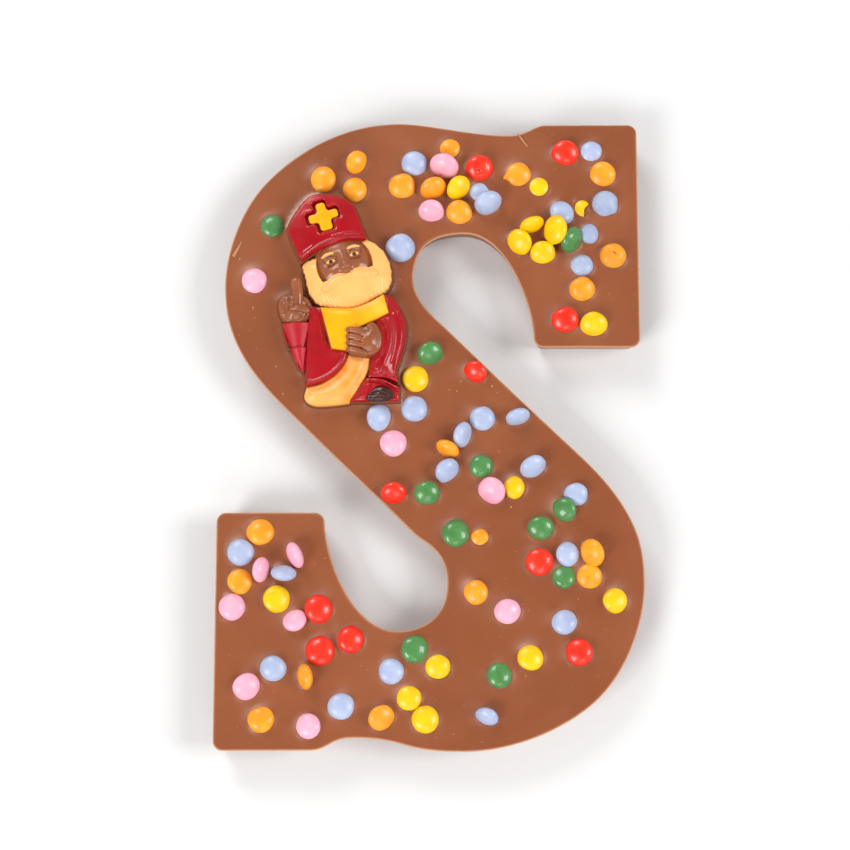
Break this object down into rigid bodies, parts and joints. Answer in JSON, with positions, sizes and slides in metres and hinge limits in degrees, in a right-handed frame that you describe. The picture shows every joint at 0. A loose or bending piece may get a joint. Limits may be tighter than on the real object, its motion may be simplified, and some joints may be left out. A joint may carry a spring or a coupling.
{
  "type": "chocolate letter",
  "caption": "Thick poured chocolate letter in the shape of an S, its face set with coloured candy lentils and a small moulded bishop figure in coloured chocolate.",
  "frame": {"origin": "middle of the letter's box, on the flat underside that it rests on", "axes": "+X to the letter's right, +Y towards its top, +Z out of the decorated face"},
  "size_m": [0.1336, 0.2006, 0.0208],
  "materials": {
    "chocolate": "poured milk chocolate with a satin gloss, set with glossy candy lentils",
    "coloured_chocolate": "moulded coloured chocolate with a smooth gloss"
  },
  "bodies": {
    "root": {"letter": "chocolate", "figure": "coloured_chocolate"}
  },
  "joints": []
}
